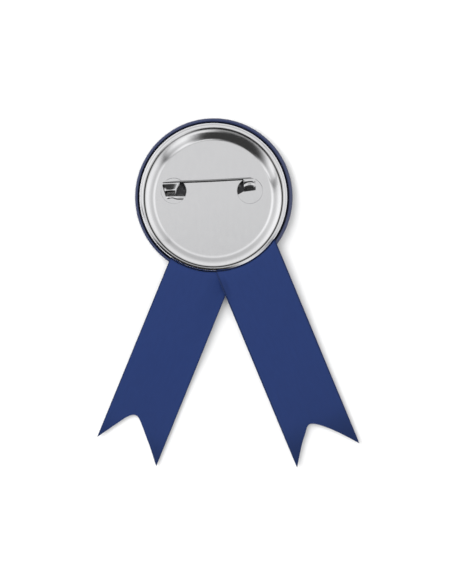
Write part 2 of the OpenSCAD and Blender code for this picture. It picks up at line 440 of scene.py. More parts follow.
# %% Material: blue paper under clear film
PAPER, PAPER_LIGHT = (0.0098, 0.0178, 0.0625, 1), (0.0128, 0.0215, 0.0715, 1)
TUCK_R, TUCK_W, TUCK_CENTRE, TUCK_DARK = 27.4, 0.85, (0.12, -0.16), (0.003, 0.004, 0.012, 1)
PLEAT_R, PLEAT_W, PLEAT_DEPTH = 28.2, 1.6, 0.12


def blue_cover():
    material, tree, shader = new_material("blue paper under film")
    grain = group_node(tree, FINE_MARKS, Scale=5000, Sharpness=0.7)
    handling = group_node(tree, SOFT_PATCHES, Scale=90, Low=0.2, High=0.34)
    colour = mix_colours(tree, grain.outputs["Mask"], PAPER, PAPER_LIGHT)
    tuck = group_node(tree, RING, Centre=(TUCK_CENTRE[0] * MM, TUCK_CENTRE[1] * MM, 0),
                      Radius=TUCK_R * MM, Width=TUCK_W * MM)
    way = vector_node(tree, "NORMALIZE", vector_node(tree, "MULTIPLY", object_place(tree), (1, 1, 0)))
    pleats = noise_node(tree, way, scale=38.0, detail=3.0)
    rim = group_node(tree, RING, Radius=PLEAT_R * MM, Width=PLEAT_W * MM)
    height = math_node(tree, "MULTIPLY", pleats, rim.outputs["Mask"])
    fill(tree, shader, {
        "Base Color": mix_colours(tree, tuck.outputs["Mask"], colour, TUCK_DARK),
        "Roughness": handling,
        "Coat Weight": math_node(tree, "MULTIPLY_ADD", tuck.outputs["Mask"], -0.5, 0.5),
        "Coat Roughness": 0.14,
        "Normal": put(tree, "ShaderNodeBump",
                      {"Height": height, "Distance": PLEAT_DEPTH * MM, "Strength": 0.5}),
    })
    return material


BLUE_COVER = blue_cover()
print("material:", BLUE_COVER.name)

# %% [markdown]
# ## Satin ribbon
# The tails are 25 mm polyester ribbon in a plain blue. Its fine threads are far
# smaller than a pixel of the photograph, but they give the satin sheen and show from
# close by. The weave follows the ribbon, so it reads the ribbon's own UV map, which
# is in metres: U across and V along. Warp threads run along the ribbon, weft threads
# across it, and a firmer edge of a few thick threads closes each side. The ribbon is
# darker along its edges, partly the firm edge's own tone and partly painted shade, such as
# the shadow line where the right tail lies over the left. It is darker still towards its
# cut end.

# %% Material: blue satin ribbon
RIBBON_W, WARP_PITCH, WEFT_PITCH, EDGE_PITCH = 24.3, 0.16, 0.3, 0.3
SATIN_DARK, SATIN_LIGHT = (0.0074, 0.0206, 0.0885, 1), (0.0134, 0.0305, 0.1182, 1)
SATIN_PATCH, SATIN_SHADE = (0.0089, 0.0221, 0.093, 1), (0.003, 0.0105, 0.045, 1)
# Distances along the ribbon, in millimetres, where its colour darkens towards the cut end, in two
# steps
DARKER_FROM, DARKER_TO, DARKEST_FROM, DARKEST_TO = 60, 88, 86, 101
# Distances from the ribbon's side where its firm edge and its dark border, partly painted shade, begin
# and are full
FIRM_EDGE, EDGE_TONE_AND_SHADE = (0.9, 0.6), (0.55, 0.15)


def threads(tree, place, pitch):
    """A wave that rises once for each thread."""
    return math_node(tree, "SINE", math_node(tree, "MULTIPLY", place, 2 * math.pi / (pitch * MM)))


def satin_ribbon():
    material, tree, shader = new_material("blue satin ribbon")
    flat = put(tree, "ShaderNodeUVMap", uv_map="ribbon").outputs[0]
    across, along, _ = put(tree, "ShaderNodeSeparateXYZ", {0: flat}).outputs
    side, half = math_node(tree, "ABSOLUTE", across), RIBBON_W / 2 * MM
    stretched = vector_node(tree, "MULTIPLY", flat, (1, 0.25, 1))
    uneven = noise_node(tree, stretched, scale=900.0, detail=3.0)
    broad = noise_node(tree, flat, scale=55.0, detail=1.0)
    weave = math_node(tree, "MULTIPLY_ADD", threads(tree, across, WARP_PITCH), 0.35,
                      threads(tree, along, WEFT_PITCH))
    firm = spread(tree, side, half - FIRM_EDGE[0] * MM, half - FIRM_EDGE[1] * MM)
    weave = mix_values(tree, firm, weave, threads(tree, side, EDGE_PITCH))
    shade = mix_colours(tree, uneven, SATIN_DARK, SATIN_LIGHT)
    shade = mix_colours(tree, spread(tree, broad, 0.35, 0.65, 0.0, 0.16), shade, SATIN_PATCH)
    # Darker border along each side: partly the firm edge's own tone, partly painted shade
    edge_tone_and_shade = spread(tree, side, half - EDGE_TONE_AND_SHADE[0] * MM, half - EDGE_TONE_AND_SHADE[1] * MM, 0.0, 0.75,
                    kind="SMOOTHSTEP")
    # Colour darkened towards the cut end, in two steps
    darker_to_end = spread(tree, along, DARKER_FROM * MM, DARKER_TO * MM, 0.0, 0.15, kind="SMOOTHSTEP")
    darkest_at_end = spread(tree, along, DARKEST_FROM * MM, DARKEST_TO * MM, 0.0, 0.62, kind="SMOOTHSTEP")
    dark = math_node(tree, "MAXIMUM", edge_tone_and_shade, math_node(tree, "ADD", darker_to_end, darkest_at_end))
    height = math_node(tree, "ADD", weave, uneven)
    fill(tree, shader, {
        "Base Color": mix_colours(tree, dark, shade, SATIN_SHADE),
        "Roughness": spread(tree, uneven, 0.0, 1.0, 0.5, 0.68),
        "Specular IOR Level": 0.25,
        "Sheen Weight": 0.06,
        "Sheen Roughness": 0.4,
        "Normal": put(tree, "ShaderNodeBump",
                      {"Height": height, "Distance": 0.018 * MM, "Strength": 0.6}),
    })
    return material


SATIN = satin_ribbon()
print("material:", SATIN.name)

# %% [markdown]
# ## A sheet turned round the badge's axis
# The cover and the back plate are round pressings, so one Geometry Nodes tree makes
# both: it takes a drawn section as a line of points and places it at every step of a
# full turn. A grid gives one vertex for each point of the line at each step, and each
# vertex looks up its own point and turns it to its own angle. Merging by distance
# then closes the seam and the middle. A Screw modifier would do it too, but the tree
# keeps the number of steps and the material as named inputs.

# %% Geometry Nodes: turned sheet
def end_tree(tree, shape, given, out):
    """Every tree ends smooth, as real geometry and with its material."""
    smooth = put(tree, "GeometryNodeSetShadeSmooth", {"Geometry": shape})
    real = put(tree, "GeometryNodeRealizeInstances", {"Geometry": smooth})
    done = put(tree, "GeometryNodeSetMaterial",
               {"Geometry": real, "Material": given.outputs["Material"]})
    fill(tree, out, {0: done})


def turned_sheet_tree():
    tree, given, out = new_group(
        "turned sheet", "GeometryNodeTree",
        [("Section", "Geometry"), ("Steps Round", "Int", 256), ("Material", "Material")],
        [("Geometry", "Geometry")],
    )
    section, steps = given.outputs["Section"], given.outputs["Steps Round"]
    points = put(tree, "GeometryNodeAttributeDomainSize", {0: section}).outputs["Point Count"]
    columns = put(tree, "FunctionNodeIntegerMath", {0: steps, 1: 1}, operation="ADD")
    grid = put(tree, "GeometryNodeMeshGrid", {"Vertices X": points, "Vertices Y": columns})
    index = put(tree, "GeometryNodeInputIndex")
    row = put(tree, "FunctionNodeIntegerMath", {0: index, 1: columns}, operation="DIVIDE_FLOOR")
    column = put(tree, "FunctionNodeIntegerMath", {0: index, 1: columns}, operation="MODULO")
    place = put(tree, "GeometryNodeSampleIndex",
                {"Geometry": section, "Value": put(tree, "GeometryNodeInputPosition"), "Index": row},
                data_type="FLOAT_VECTOR", domain="POINT")
    step = math_node(tree, "DIVIDE", 2 * math.pi, steps)
    turned = put(tree, "ShaderNodeVectorRotate",
                 {"Vector": place, "Angle": math_node(tree, "MULTIPLY", column, step)},
                 rotation_type="Z_AXIS")
    placed = put(tree, "GeometryNodeSetPosition", {"Geometry": grid, "Position": turned})
    merged = put(tree, "GeometryNodeMergeByDistance", {"Geometry": placed, "Distance": 0.5e-6})
    end_tree(tree, merged, given, out)
    return tree


TURNED_SHEET = turned_sheet_tree()
print("tree:", TURNED_SHEET.name)


# %% Turn a section into a sheet
def turned_sheet(name, section, material, steps=256):
    """A closed section (radius, height) in millimetres, turned round the Z axis."""
    line = mesh_object(name + "_section", [(r, 0, z) for r, z in section],
                       edges=[(i, i + 1) for i in range(len(section) - 1)])
    modifier = line.modifiers.new("turn", "NODES")
    modifier.node_group = TURNED_SHEET
    set_input(modifier, "Steps Round", steps)
    set_input(modifier, "Material", material)
    return close_up(as_plain_mesh(line, name), smooth_angle=50)


def thick_section(path, thickness):
    """A path and the same path beside it, as one closed outline."""
    return np.concatenate((path, beside(path, thickness)[::-1]))


def push_aside(made, x, y, share):
    """Moves vertices aside in millimetres, by a share that depends on their radius."""
    for vertex in made.data.vertices:
        part = float(share(math.hypot(vertex.co.x, vertex.co.y) / MM))
        vertex.co.x += x * MM * part
        vertex.co.y += y * MM * part


# %% [markdown]
# ## Printed cover
# The cover runs from the flat middle of the hidden front over the gentle dome, round
# the shoulder, up the side and over the curl into the back. Its corners are those of
# the CAD source. Covers are seldom wrapped quite evenly, and this one's rim stands a
# fifth of a millimetre further right.

# %% Build the cover
BADGE_R, BEAD_R, SEAM_W = 29.0, 27.35, 0.25
CURL_H, DOME_RISE, DOME_R, SHOULDER_R = 4.9, 0.2, 75.0, 2.0
FRONT_FLAT_R, COVER_T = 9.0, 0.25
COVER_OFF_CENTRE, RIM_FROM, RIM_OVER = 0.18, 27.6, 0.9
CURL_R = (BADGE_R - BEAD_R - SEAM_W) / 2
TUCK_H = CURL_H - CURL_R - 0.5
DOME_CORNER = FRONT_FLAT_R + DOME_R * math.tan(math.atan(DOME_RISE) / 2)
COVER_LINE = [
    (0, 0, 0), (DOME_CORNER, 0, DOME_R),
    (BADGE_R, (BADGE_R - DOME_CORNER) * DOME_RISE, SHOULDER_R),
    (BADGE_R, CURL_H, CURL_R), (BADGE_R - 2 * CURL_R, CURL_H, CURL_R),
    (BADGE_R - 2 * CURL_R, TUCK_H, 0),
]
cover_path = distinct(rounded(COVER_LINE))
printed_cover = turned_sheet("printed_cover", thick_section(cover_path, COVER_T), BLUE_COVER)
push_aside(printed_cover, COVER_OFF_CENTRE, 0, lambda radius: ease((radius - RIM_FROM) / RIM_OVER))
print("printed_cover:", len(printed_cover.data.polygons), "faces")

# %% [markdown]
# ## Back plate
# The back is one pressing: a flat recessed disc, a sloped wall, a crease, and a round
# bead that clamps the cover and the ribbon ends. The crease is drawn a little deeper
# here than in the solid, because it shows as a thin dark line all round. The press
# has left the recess a third of a millimetre nearer the tails, so the bead looks
# wider at the top than at the bottom.

# %% Build the turned part of the back
DISC_R, DISC_H, PLATE_T = 21.5, 4.3, 0.3
BEAD_W, BEAD_H, BEAD_DRAWN_IN, BEAD_EASE = 1.95, 6.2, 0.05, 1.5
VALLEY_R, VALLEY_H = BEAD_R - BEAD_W, DISC_H + 1.0
BEAD_EDGE = BEAD_R - BEAD_DRAWN_IN
BACK_LINE = [
    (0, DISC_H, 0), (DISC_R + 0.3, DISC_H, 4.0),
    (DISC_R + 2.15, DISC_H + 0.79, 8.0), (VALLEY_R - 0.22, VALLEY_H, 0.1),
    (VALLEY_R - 0.04, VALLEY_H - 0.14, 0.04), (VALLEY_R + 0.1, BEAD_H, 0.35),
    (BEAD_EDGE, BEAD_H, 1.4), (BEAD_EDGE, TUCK_H + 0.2, 0),
]
back_path = distinct(rounded(BACK_LINE))
tin_back = turned_sheet("tin_back", thick_section(back_path, -PLATE_T), TINPLATE, steps=288)
push_aside(tin_back, 0, -OFF_CENTRE, lambda radius: 1 - ease((radius - CREASE_R) / BEAD_EASE))
print("tin_back:", len(tin_back.data.polygons), "faces before cutting")

# %% [markdown]
# ## Pressed rounds and holes
# Two shallow rounds are pressed into the disc, and in each one the press has cut and
# lifted a tongue, which leaves a hole beside it. Booleans cut them as the press does:
# a low cone frustum leaves each round with a soft step, and an upright block in the
# shape of the hole goes right through. The hole is its round, cut off along the
# tongue's foot and along the wire.

# %% Tables of the two tongues, in a frame that starts at the pin's hinge corner
WIRE_LIFT, PIN_TURN = 1.1, math.radians(2.63)
HINGE_AT = np.array((14.2, 6.84, DISC_H + WIRE_LIFT))
ROUND_R, ROUND_DEPTH = 4.7, 0.1
SUNK_Z = -WIRE_LIFT - ROUND_DEPTH
HOLE_TOP = -0.15
# Lip: the last corners of every drawn section. Curl: how far the two sides turn down.
# Marks: place in Y, how far it bends back at the sides, height, width
# Rows: foot's X, lip's X, foot's Y, lean, crown's height, shoulder's Y and height, the two roundings
CATCH = {
    "round_at": (-14.6, 2.3), "lip": [(-0.33, 0.72, 0.2), (-0.25, 0.42, 0)], "curl": 0.5,
    "hole": [(-24, -5.55), (-31.3, -5.0), (-32.1, -5.0), (-33.3, HOLE_TOP), (-24, HOLE_TOP)],
    "marks": [(-3.15, 0.0, 0.06, 0.2)],
    "rows": [
        (-28.4, -26.6, -5.15, 1.75, 0.42, -0.52, 1.12, 1.0, 0.36),
        (-28.8, -27.3, -5.15, 1.75, 0.57, -0.5, 1.27, 1.2, 0.36),
        (-29.9, -29.4, -5.15, 1.75, 0.67, -0.48, 1.37, 1.3, 0.36),
        (-31.2, -31.4, -5.15, 1.75, 0.57, -0.5, 1.27, 1.2, 0.36),
        (-32.0, -32.8, -5.15, 1.75, 0.42, -0.52, 1.12, 1.0, 0.36),
    ],
}
HINGE = {
    "round_at": (13.4, 2.3), "lip": [(-0.2, 1.25, 0)], "curl": 0.22,
    "hole": [(1.2, -4.05), (-3.1, -4.55), (-6.0, -6.0), (-6.0, HOLE_TOP), (1.2, HOLE_TOP)],
    "marks": [(-1.55, 0.8, -0.15, 0.26), (-0.75, 0.15, -0.09, 0.14), (-2.55, 0.5, 0.07, 0.2)],
    "rows": [
        (1.2, 1.2, -4.2, 0.85, 1.15, -1.0, 1.6, 0.8, 0.5),
        (0.3, 0.3, -4.3, 0.9, 1.25, -0.95, 1.74, 0.8, 0.5),
        (-0.9, -0.9, -4.4, 1.0, 1.25, -0.95, 1.73, 0.8, 0.5),
        (-2.1, -2.1, -4.55, 1.1, 1.15, -0.95, 1.62, 0.8, 0.5),
        (-3.1, -3.2, -4.7, 1.2, 0.95, -1.0, 1.4, 0.8, 0.5),
    ],
}
TONGUES = {"catch": CATCH, "hinge": HINGE}


def from_pin_frame(points):
    """Points of the pin's frame in the badge's frame, both in millimetres."""
    points = np.asarray(points, float)
    c, s = math.cos(PIN_TURN), math.sin(PIN_TURN)
    turned = np.stack((points[..., 0] * c - points[..., 1] * s,
                       points[..., 0] * s + points[..., 1] * c, points[..., 2]), axis=-1)
    return turned + HINGE_AT


for label, tongue in TONGUES.items():
    print(label, "is drawn with", len(tongue["rows"]), "sections, its round is at", tongue["round_at"])


# %% Blocks that cut
def circle(centre, radius, steps=96):
    turns = np.linspace(0, 2 * math.pi, steps, endpoint=False)
    return [(centre[0] + radius * math.cos(t), centre[1] + radius * math.sin(t)) for t in turns]


def prism(name, low, low_z, high, high_z):
    """A closed block between two outlines with the same number of points."""
    n = len(low)
    points = [(x, y, low_z) for x, y in low] + [(x, y, high_z) for x, y in high]
    faces = [tuple(range(n)), tuple(range(n, 2 * n))]
    faces += [(i, (i + 1) % n, n + (i + 1) % n, n + i) for i in range(n)]
    return close_up(mesh_object(name, points, faces))


def boolean(target, tool, operation):
    modifier = target.modifiers.new(operation.lower(), "BOOLEAN")
    modifier.operation, modifier.solver, modifier.object = operation, "EXACT", tool


def round_block(label, tongue):
    """Flat frustum that presses a round, a little wider at the top."""
    middle = tongue["round_at"]
    return prism(label + "_round", circle(middle, ROUND_R - 0.06), DISC_H - ROUND_DEPTH,
                 circle(middle, ROUND_R + 0.09), DISC_H + 0.05)


def hole_block(label, tongue):
    """Upright block in the shape of the hole that a tongue leaves in its round."""
    area = [tuple(p[:2]) for p in from_pin_frame([(x, y, 0) for x, y in tongue["hole"]])]
    block = prism(label + "_hole", area, DISC_H - 2, area, DISC_H + 0.5)
    edge = circle(tongue["round_at"], ROUND_R - 0.1)
    limit = prism(label + "_limit", edge, DISC_H - 3, edge, DISC_H + 1)
    boolean(block, limit, "INTERSECT")
    block = as_plain_mesh(block, label + "_hole")
    bpy.data.objects.remove(limit)
    return block


# %% Cut the rounds and the holes
def combine(target, tools, operation):
    """Cuts all the tools from a target or adds them to it, and removes the tools."""
    for tool in tools:
        tool.data.materials.clear()
        tool.data.materials.append(TINPLATE)
        boolean(target, tool, operation)
    done = as_plain_mesh(target, target.name)
    for tool in tools:
        bpy.data.objects.remove(tool)
    return done


cutters = []
for label, tongue in TONGUES.items():
    cutters += [round_block(label, tongue), hole_block(label, tongue)]
tin_back = combine(tin_back, cutters, "DIFFERENCE")
print("tin_back:", len(tin_back.data.polygons), "faces after cutting")

# %% [markdown]
# ## Catch and hinge
# Each tongue is a strip of the same sheet: it bends up out of its round at the foot,
# leans over and rolls down again to a lip at the wire. A few drawn sections across the
# strip describe it, and a smooth curve through them gives all the sections between.
# Its two sides curl down a little, as cut tin does when a punch bends it, and the punch
# leaves marks: a low step above the catch's wall and shallow arcs across the hinge. The
# cut edges get a small bevel, which catches the light. Bending the catch up has also
# pushed a low uneven fold into the sheet along its foot.

# %% Shape of a tongue
TONGUE_SECTIONS, TONGUE_STEPS = 33, 130
TONGUE_Z = SUNK_Z - 0.012
FOOT_RUN, FOOT_R = 0.75, 0.35
# How much of a tongue's width stays flat in its middle, and of its length at its foot
FLAT_SHARE, STRAIGHT_SHARE = 0.4, 0.12


def evenly(path, count):
    """The path as evenly spaced points."""
    lengths = np.concatenate(((0,), np.cumsum(np.linalg.norm(np.diff(path, axis=0), axis=1))))
    at = np.linspace(0, lengths[-1], count)
    return np.stack([np.interp(at, lengths, path[:, i]) for i in (0, 1)], axis=-1)


def tongue_grids(tongue):
    """The outer and inner grids of a tongue, one column for each section."""
    lip = tongue["lip"][-1]
    last = len(tongue["rows"]) - 1
    rows = smooth_through(range(last + 1), tongue["rows"], np.linspace(0, last, TONGUE_SECTIONS))
    side = np.abs(np.linspace(-1, 1, TONGUE_SECTIONS))
    curls = tongue["curl"] * np.clip((side - FLAT_SHARE) / (1 - FLAT_SHARE), 0, 1) ** 2
    grids = ([], [])
    for s, curl, row in zip(side, curls, rows):
        foot_x, lip_x, foot, lean, crown, shoulder, top, crown_r, shoulder_r = row
        line = evenly(rounded([
            (foot - FOOT_RUN, TONGUE_Z, 0), (foot, TONGUE_Z, FOOT_R),
            (foot + lean, crown, crown_r), (shoulder, top, shoulder_r), *tongue["lip"],
        ]), TONGUE_STEPS)
        for grid, path in zip(grids, (line, beside(line, -PLATE_T))):
            t = ease((path[:, 0] - foot) / (lip[0] - foot))
            bent = np.clip((t - STRAIGHT_SHARE) / (1 - STRAIGHT_SHARE), 0, 1)
            z = path[:, 1] - curl * np.sin(math.pi * bent)
            for place, back, height, width in tongue["marks"]:
                z += height * np.exp(-((path[:, 0] - place + back * s * s) / width) ** 2)
            grid.append(np.stack((foot_x + (lip_x - foot_x) * t, path[:, 0], z), axis=-1))
    return [from_pin_frame(np.array(grid)) for grid in grids]


# %% Shape of the fold along the catch's foot
# Height, reach from the hole's edge, share of the reach at the crest, share that each end fades
FOLD_H, FOLD_REACH, FOLD_CREST, FOLD_END = 0.14, 1.3, 0.5, 0.15
# Where the fold is pinched narrower, and how deep it is sunk into the sheet
PINCH_X, PINCH_W, FOLD_DEPTH = -29.6, 0.9, 0.12


def fold_grids(tongue):
    """Top and underside of a low fold along the lower edge of a tongue's hole."""
    places, edges = zip(*reversed(tongue["hole"][:3]))
    u, v = np.linspace(0, 1, 41)[:, None], np.linspace(0, 1, 17)[None, :]
    x = places[0] + 0.2 + (places[-1] - places[0] - 0.5) * u
    bump = np.where(v < FOLD_CREST, ease(v / FOLD_CREST), ease((1 - v) / (1 - FOLD_CREST)))
    ends = ease(u / FOLD_END) * ease((1 - u) / FOLD_END)
    lift = FOLD_H * bump * ends * (1 + 0.3 * np.sin(9 * u + 1))
    pinch = 1 - 0.3 * np.exp(-(((x - PINCH_X) / PINCH_W) ** 2))
    y = np.interp(x, places, edges) - 0.02 - FOLD_REACH * pinch * v + 0.06 * np.sin(8 * u)
    x, y, lift = np.broadcast_arrays(x, y, lift)
    top = np.stack((x, y, SUNK_Z - 0.01 + lift), axis=-1)
    under = np.stack((x, y, np.full_like(x, SUNK_Z - FOLD_DEPTH)), axis=-1)
    return from_pin_frame(top), from_pin_frame(under)


# %% Build the tongues and join them to the back
pressed = [sheet_object("catch_fold", *fold_grids(CATCH))]
for label, tongue in TONGUES.items():
    piece = sheet_object(label + "_tongue", *tongue_grids(tongue))
    bevel = piece.modifiers.new("cut edges", "BEVEL")
    bevel.width, bevel.segments = 0.05 * MM, 4
    bevel.limit_method, bevel.angle_limit = "ANGLE", math.radians(50)
    pressed.append(as_plain_mesh(piece, piece.name))
    print(label, "tongue:", len(pressed[-1].data.polygons), "faces")

tin_back = close_up(combine(tin_back, pressed, "UNION"), smooth_angle=25)
weighted = tin_back.modifiers.new("flat faces stay flat", "WEIGHTED_NORMAL")
weighted.keep_sharp = True
tin_back = as_plain_mesh(tin_back, "tin_back")
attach(tin_back, "badge")
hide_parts("back_plate")
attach(printed_cover, "badge")
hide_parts("face_cover")
print("tin_back:", len(tin_back.data.polygons), "faces")

# %% [markdown]
# ## Shell
# The tinplate cup inside the cover keeps its CAD shape. Only its inside shows, through
# the holes, and there the sheet is a dull dark grey instead of bright tin: painted shade
# for the unlit inside of the badge, so the holes look dark. A few bare spots still glint.

# %% Finish the shell
INSIDE_SHADE, INSIDE_SHADE_LINES, BARE_TIN = (0.1, 0.1, 0.105, 1), (0.075, 0.075, 0.08, 1), (0.42, 0.42, 0.43, 1)


def dull_shaded_tin():
    material, tree, shader = new_material("dull shaded inner tin")
    rolled = group_node(tree, FINE_MARKS, Stretch=(1, 0.08, 1), Scale=2200, Sharpness=0.6)
    # Painted shade: the inside of the shell is coloured dark grey, so the holes look dark
    colour = mix_colours(tree, rolled.outputs["Mask"], INSIDE_SHADE, INSIDE_SHADE_LINES)
    spots = group_node(tree, SOFT_PATCHES, Scale=420, Low=-0.9, High=1.1)
    fill(tree, shader, {
        "Base Color": mix_colours(tree, math_node(tree, "MAXIMUM", spots, 0.0), colour, BARE_TIN),
        "Metallic": 1.0,
        "Roughness": group_node(tree, SOFT_PATCHES, Scale=90, Low=0.42, High=0.55),
    })
    return material


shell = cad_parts["shell"]
shell.data.materials.clear()
shell.data.materials.append(dull_shaded_tin())
print("shell:", shell.data.materials[0].name)

# %% [markdown]
# ## Spring pin
# The pin is one piece of wire: a short leg under the hinge tongue, a bend, a straight
# shank and a long ground point. Spring tension bows the shank by a seventh of a
# millimetre. The wire follows a path, so a Geometry Nodes tree sweeps a round section
# along it, and each point of the path carries the wire's radius there.

# %% Geometry Nodes: wire along a path
def wire_tree():
    tree, given, out = new_group(
        "wire along a path", "GeometryNodeTree",
        [("Path", "Geometry"), ("Sides", "Int", 32), ("Material", "Material")],
        [("Geometry", "Geometry")],
    )
    radius = put(tree, "GeometryNodeInputNamedAttribute", {"Name": "wire_radius"}, data_type="FLOAT")
    line = put(tree, "GeometryNodeMeshToCurve", {"Mesh": given.outputs["Path"]})
    sized = put(tree, "GeometryNodeSetCurveRadius", {"Curve": line, "Radius": radius})
    section = put(tree, "GeometryNodeCurvePrimitiveCircle",
                  {"Resolution": given.outputs["Sides"], "Radius": 1.0})
    swept = put(tree, "GeometryNodeCurveToMesh",
                {"Curve": sized, "Profile Curve": section, "Fill Caps": True,
                 "Scale": put(tree, "GeometryNodeInputRadius")})
    end_tree(tree, swept, given, out)
    return tree


WIRE = wire_tree()
print("tree:", WIRE.name)

# %% Build the pin
WIRE_R, NECK_R, BEND_R, LEG, PIN_LEN = 0.4, 0.36, 0.8, 0.9, 32.9
NECK, SHANK, POINT_R = 4.4, 21.0, 0.06
HINGE_LEAN = math.radians(25)
BOW, BOW_FROM, BOW_LEN = 0.15, 2, 28


def pin_path():
    """The wire's middle line in its own plane, with its radius at each point."""
    quarters = (0.25, 0.5, 0.75, 1)
    path = [(0, -BEND_R - LEG, NECK_R), (0, -BEND_R - LEG / 2, NECK_R)]
    for t in np.linspace(0, math.pi / 2, 13):
        path.append((BEND_R * (math.cos(t) - 1), BEND_R * (math.sin(t) - 1), NECK_R))
    path += [(-BEND_R - NECK * t, 0, NECK_R + (WIRE_R - NECK_R) * t) for t in quarters]
    start = BEND_R + NECK
    path += [(-start - SHANK * t, 0, WIRE_R) for t in quarters]
    start += SHANK
    for t in np.linspace(0.08, 1, 12):
        path.append((-start - (PIN_LEN - start) * t, 0, WIRE_R + (POINT_R - WIRE_R) * t))
    path.append((-PIN_LEN - 0.04, 0, 0.02))
    return path


def bowed(x, y):
    """Y of a point once the shank is bowed."""
    return y - BOW * math.sin(math.pi * min(max((-x - BOW_FROM) / BOW_LEN, 0), 1))


path = [(x, bowed(x, y), r) for x, y, r in pin_path()]
lean_c, lean_s = math.cos(-HINGE_LEAN), math.sin(-HINGE_LEAN)
middle_line = from_pin_frame([(x, y * lean_c, y * lean_s) for x, y, _ in path])
line = mesh_object("pin_path", middle_line, edges=[(i, i + 1) for i in range(len(path) - 1)])
radii = line.data.attributes.new("wire_radius", "FLOAT", "POINT")
radii.data.foreach_set("value", [r * MM for _, _, r in path])
modifier = line.modifiers.new("sweep", "NODES")
modifier.node_group = WIRE
set_input(modifier, "Sides", 40)
set_input(modifier, "Material", DRAWN_WIRE)
spring_pin = close_up(as_plain_mesh(line, "spring_pin"), smooth_angle=60)
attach(spring_pin, "pin")
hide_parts("pin_wire")
print("spring_pin:", len(spring_pin.data.polygons), "faces")

# %% [markdown]
# ## Ribbon tails
# Each tail is a flat strip of ribbon that comes up out of the seam, bends over the
# covered rim and falls away over about 60 mm, until its cut end hangs a millimetre or
# two above the table. The right one lies over the left one: where they cross, the edge
# of the right one stands up a little and the edge of the left one is pressed down. A
# grid of points follows that surface: columns along the ribbon, rows across it, from
# the seam to the swallowtail cut. Cloth simulation would add little here, because the
# photograph shows the tails flat, so the fall and a slight wave are worked out
# directly and the ribbon keeps its true size. Both grids, half a thickness above and
# below, are closed into one thin sheet.

# %% Tables of the two tails
RIBBON_T, LANDING = 0.3, 62.0
# Shift: how far the tail's middle passes beside the badge's middle. Seam: where it comes out.
# Gather: how far the crimp draws its left edge in. Wave: height, length and phase.
# Levels: height of its seat on the rim and of its cut end.
# Edge: lift, side (1 is right), width of the strip that lifts, where it starts to rise and
# over how far, where it starts to fall and over how far.
# End: place across as a share of the width, and distance from the badge's middle.
LEFT_TAIL = {
    "turn": -22.1, "shift": 5.6, "width": RIBBON_W, "gather": 0.35, "seam": 27.53,
    "levels": (5.35 - RIBBON_T, 1.2), "wave": (0.16, 41.0, 0.4),
    "edge": (-0.9, 1, 9.0, 25.5, 5.0, 34.0, 20.0),
    "end": [(-0.5, 98.1), (-0.3, 90.7), (-0.215, 87.65), (-0.115, 85.4), (-0.065, 85.3),
            (0.075, 88.1), (0.18, 90.9), (0.29, 93.8), (0.5, 99.9)],
}
RIGHT_TAIL = {
    "turn": 22.6, "shift": 2.5, "width": 24.7, "gather": 0.0, "seam": 27.44,
    "levels": (5.45, 2.2), "wave": (0.2, 47.0, 2.6),
    "edge": (1.2, -1, 2.8, 26.8, 4.0, 32.5, 6.0),
    "end": [(-0.5, 103.9), (-0.285, 96.15), (-0.18, 93.05), (-0.115, 91.15), (-0.06, 90.85),
            (-0.02, 91.25), (0.105, 93.55), (0.275, 97.75), (0.5, 104.4)],
}
# From the seam over the rim: share of the way out, height below the seat, thickness
SEAM_ROWS = [(0.0, -0.75, 0.08), (0.03, -0.5, 0.08), (0.1, -0.27, 0.1), (0.28, -0.1, 0.14),
             (0.55, -0.02, 0.2), (1.0, 0.0, 0.28)]
# The tails bend over the rim and start to fall there. Past FREE_FROM they wave a little
# and both their edges stand up by CUP.
RIM_R, FALL_R = 28.4, 27.5
FREE_FROM, FREE_OVER, WAVE_SLANT, CUP = 44, 20, 0.25, 0.12
GATHER_AT, GATHER_OVER = 27, 45
print("tails are", LEFT_TAIL["width"], "and", RIGHT_TAIL["width"], "mm wide")


# %% Surface of a tail
TAIL_COLUMNS, TAIL_ROWS = 61, 110


def height_along(tail, share, x, y):
    """Height of a tail's middle across one row, from the rim to the cut end."""
    seat, hanging = tail["levels"]
    wave, length, phase = tail["wave"]
    lifted, side, inside, first, rise, last, fade = tail["edge"]
    fall = ease((y - np.sqrt(FALL_R**2 - x**2)) / LANDING)
    free = ease((y - FREE_FROM) / FREE_OVER)
    lift = wave * free * (1 + np.sin(2 * math.pi * (y + WAVE_SLANT * x) / length + phase))
    near = 1 - ease((0.5 - side * share) * tail["width"] / inside)
    crossing = ease((y - first) / rise) * (1 - ease((y - last) / fade))
    cup = CUP * free * (2 * share) ** 2 + lifted * near * crossing
    return seat + (hanging - seat) * fall + lift + cup + RIBBON_T / 2


def tail_grids(tail):
    """Middle points, thickness and flat UVs of a tail, in the tail's own frame."""
    share = np.linspace(-0.5, 0.5, TAIL_COLUMNS)
    x = tail["shift"] + share * tail["width"]
    cut = smooth_through(*zip(*tail["end"]), share)
    points, thickness = [], []
    for out, below, t in SEAM_ROWS:
        radius = tail["seam"] + (RIM_R - tail["seam"]) * out
        z = np.full_like(x, tail["levels"][0] + RIBBON_T / 2 + below)
        points.append(np.stack((x, -np.sqrt(radius**2 - x**2), z), axis=-1))
        thickness.append(np.full_like(x, t))
    start = np.sqrt(RIM_R**2 - x**2)
    for k in range(1, TAIL_ROWS + 1):
        y = start + (cut - start) * k / TAIL_ROWS
        points.append(np.stack((x, -y, height_along(tail, share, x, y)), axis=-1))
        thickness.append(np.full_like(x, RIBBON_T))
    points, thickness = np.array(points), np.array(thickness)
    drawn = tail["gather"] * np.exp(-(((points[..., 1] + GATHER_AT) / GATHER_OVER) ** 2))
    points[..., 0] += drawn * (0.5 - share)
    steps = np.linalg.norm(np.diff(points, axis=0), axis=-1)
    along = np.concatenate((np.zeros((1, TAIL_COLUMNS)), np.cumsum(steps, axis=0)))
    along -= along[len(SEAM_ROWS) - 1] - start
    uv = np.stack((np.broadcast_to(share * tail["width"], along.shape), along), axis=-1)
    return points, thickness, uv


